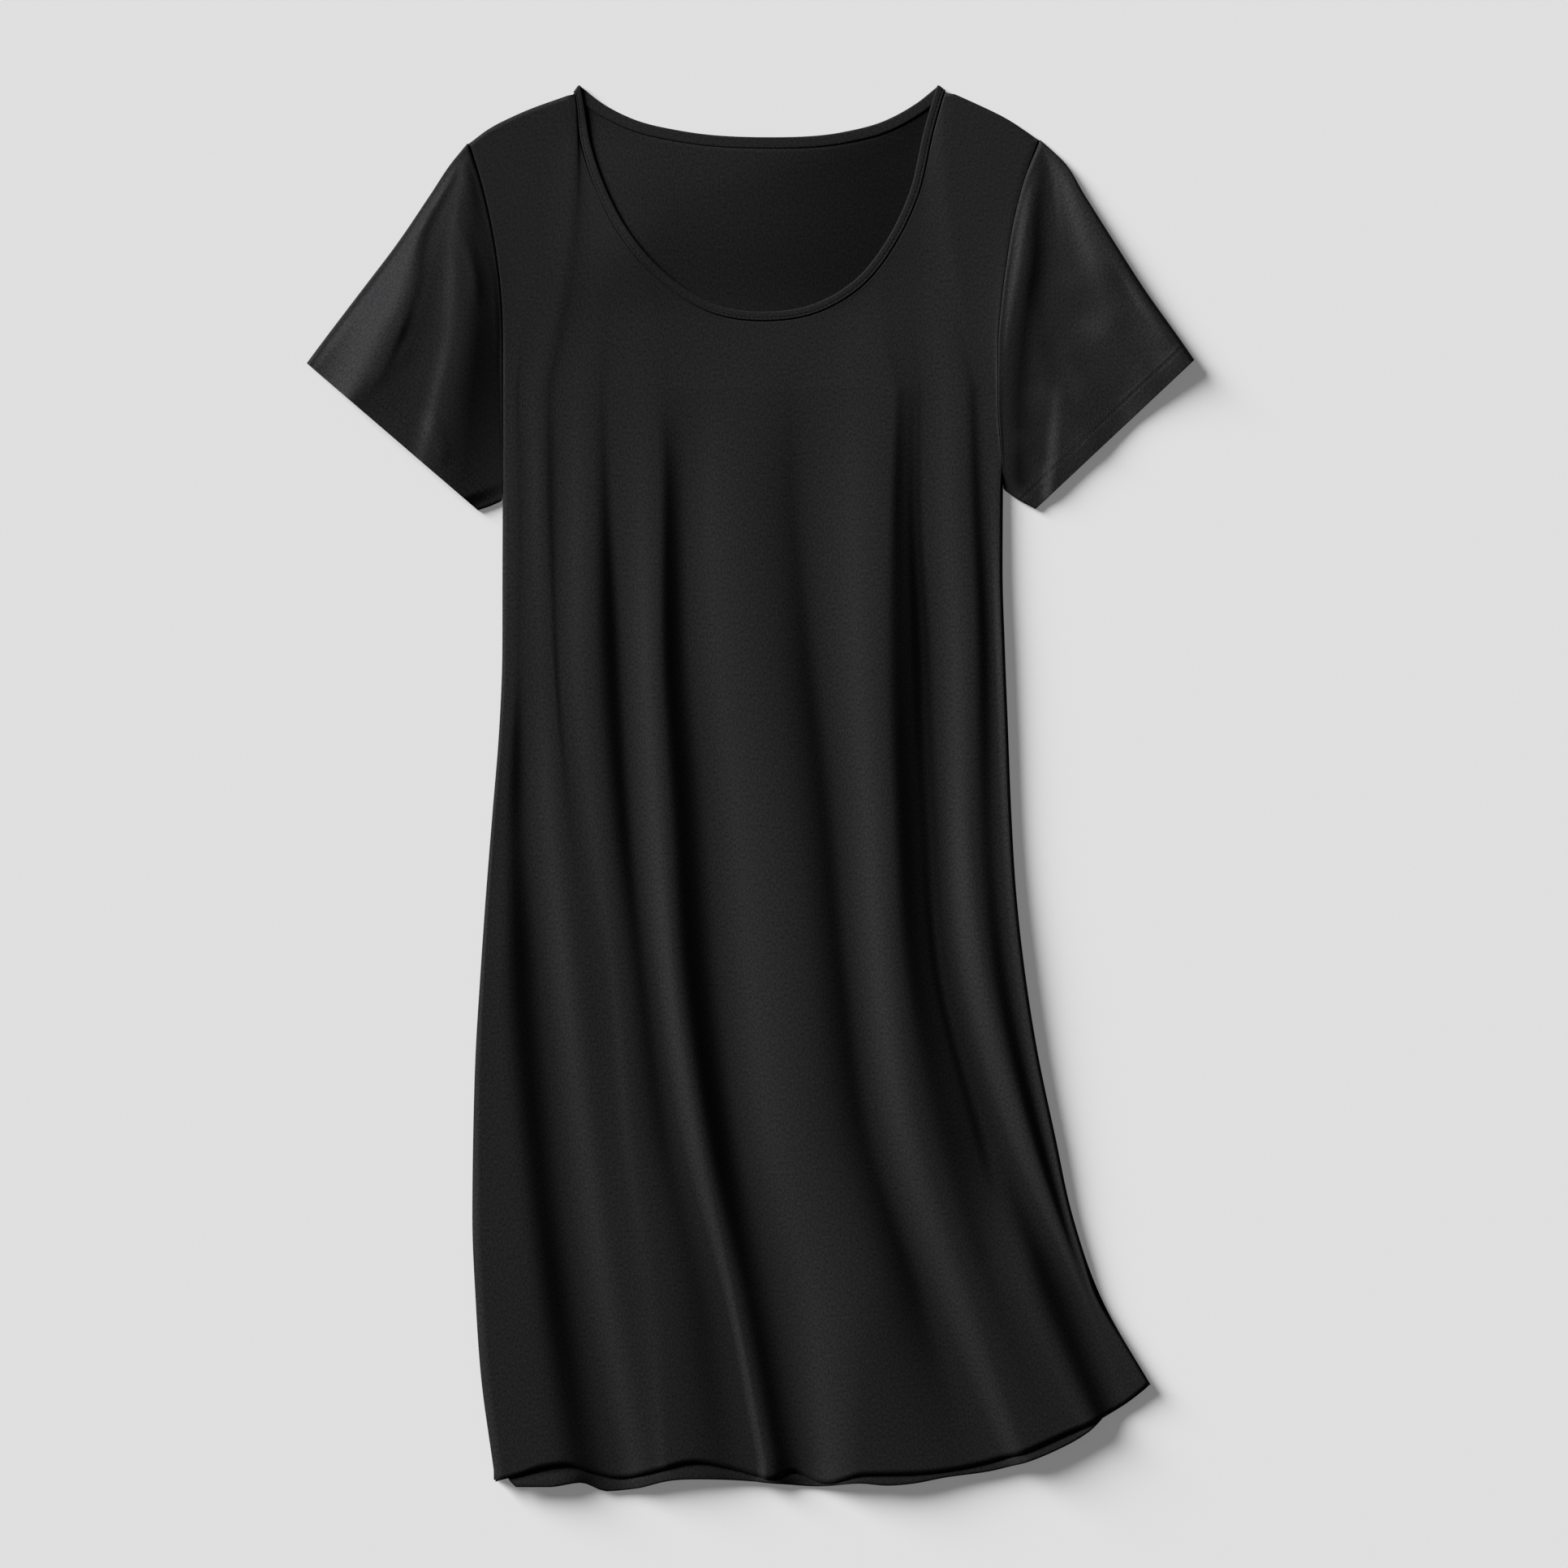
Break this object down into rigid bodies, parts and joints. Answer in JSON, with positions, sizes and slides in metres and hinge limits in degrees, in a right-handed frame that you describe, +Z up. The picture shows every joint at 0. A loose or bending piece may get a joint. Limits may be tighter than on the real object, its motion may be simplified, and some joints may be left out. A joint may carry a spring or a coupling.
{
  "type": "nightshirt laid flat",
  "caption": "Knee-length jersey sleepshirt laid flat on its back, with a scoop neck bound in self fabric, short sleeves with turned hems and soft lengthwise folds towards a flared hem.",
  "frame": {"origin": "on the surface that the garment lies on, under the middle of its bounding box", "axes": "+Z up out of the surface, +Y from the hem to the neck, +X towards the wearer's left sleeve"},
  "size_m": [0.612, 0.969, 0.016],
  "materials": {
    "jersey": "black brushed viscose jersey with a soft low sheen",
    "binding": "the same black jersey, folded double and edge-stitched"
  },
  "bodies": {
    "root": {"back_panel": "jersey", "front_panel": "jersey", "sleeve_left": "jersey", "sleeve_right": "jersey", "neck_binding": "binding"}
  },
  "joints": []
}
